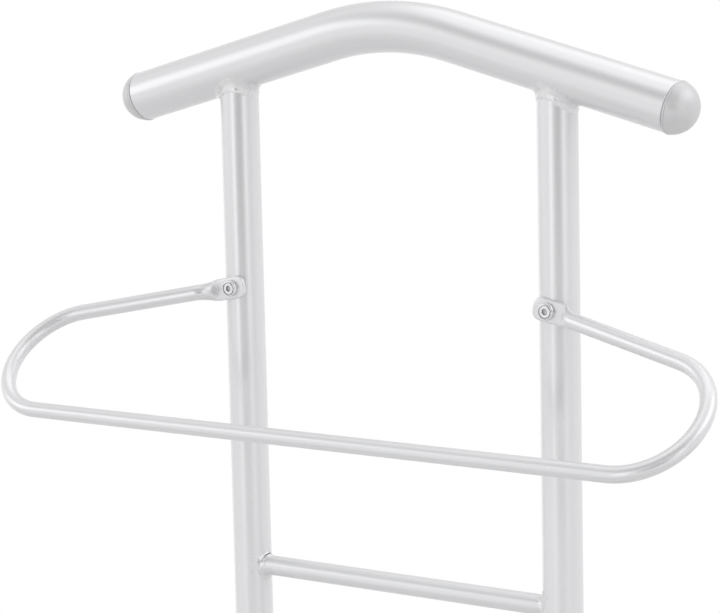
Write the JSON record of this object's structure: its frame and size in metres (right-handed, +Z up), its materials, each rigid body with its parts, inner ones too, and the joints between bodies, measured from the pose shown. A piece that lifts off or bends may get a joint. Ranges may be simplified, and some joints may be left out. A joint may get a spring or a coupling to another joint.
{
  "type": "valet stand",
  "caption": "Free-standing tubular steel valet stand: sloped hanger bar on welded posts, bolted trouser loop, crossbar, and arched feet with shoe rails.",
  "frame": {"origin": "on the floor, midway between the posts and between the ends of the feet", "axes": "+Z up, -Y to the front where the trouser bar reaches out, +X to the right seen from the front"},
  "size_m": [0.5168, 0.306, 1.08],
  "materials": {
    "silver_paint": "satin aluminium-coloured paint over welded steel tube",
    "grey_plastic": "moulded light grey plastic",
    "zinc_steel": "bright zinc plate",
    "inner_steel": "plain steel inside the tubes"
  },
  "bodies": {
    "root": {"hanger_bar": "silver_paint", "upper_post_left": "silver_paint", "upper_post_right": "silver_paint", "hanger_weld_left": "silver_paint", "hanger_weld_right": "silver_paint", "crossbar": "silver_paint", "crossbar_weld_left": "silver_paint", "crossbar_weld_right": "silver_paint", "trouser_bar": "silver_paint", "lower_post_left": "silver_paint", "lower_post_right": "silver_paint", "foot_left": "silver_paint", "foot_right": "silver_paint", "shoe_rail_front": "silver_paint", "shoe_rail_rear": "silver_paint", "shoe_rail_weld_front_left": "silver_paint", "shoe_rail_weld_front_right": "silver_paint", "shoe_rail_weld_rear_left": "silver_paint", "shoe_rail_weld_rear_right": "silver_paint", "hanger_cap_left": "grey_plastic", "hanger_cap_right": "grey_plastic", "foot_cap_front_left": "grey_plastic", "foot_cap_front_right": "grey_plastic", "foot_cap_rear_left": "grey_plastic", "foot_cap_rear_right": "grey_plastic", "glide_front_left": "grey_plastic", "glide_front_right": "grey_plastic", "glide_rear_left": "grey_plastic", "glide_rear_right": "grey_plastic", "trouser_bar_screws": "zinc_steel", "post_sleeve_screws": "zinc_steel", "foot_bolts": "zinc_steel", "trouser_bar_rivet_nuts": "inner_steel", "post_sleeve_left": "inner_steel", "post_sleeve_right": "inner_steel", "post_sleeve_rivet_nuts": "inner_steel", "post_end_nuts": "inner_steel"}
  },
  "joints": []
}
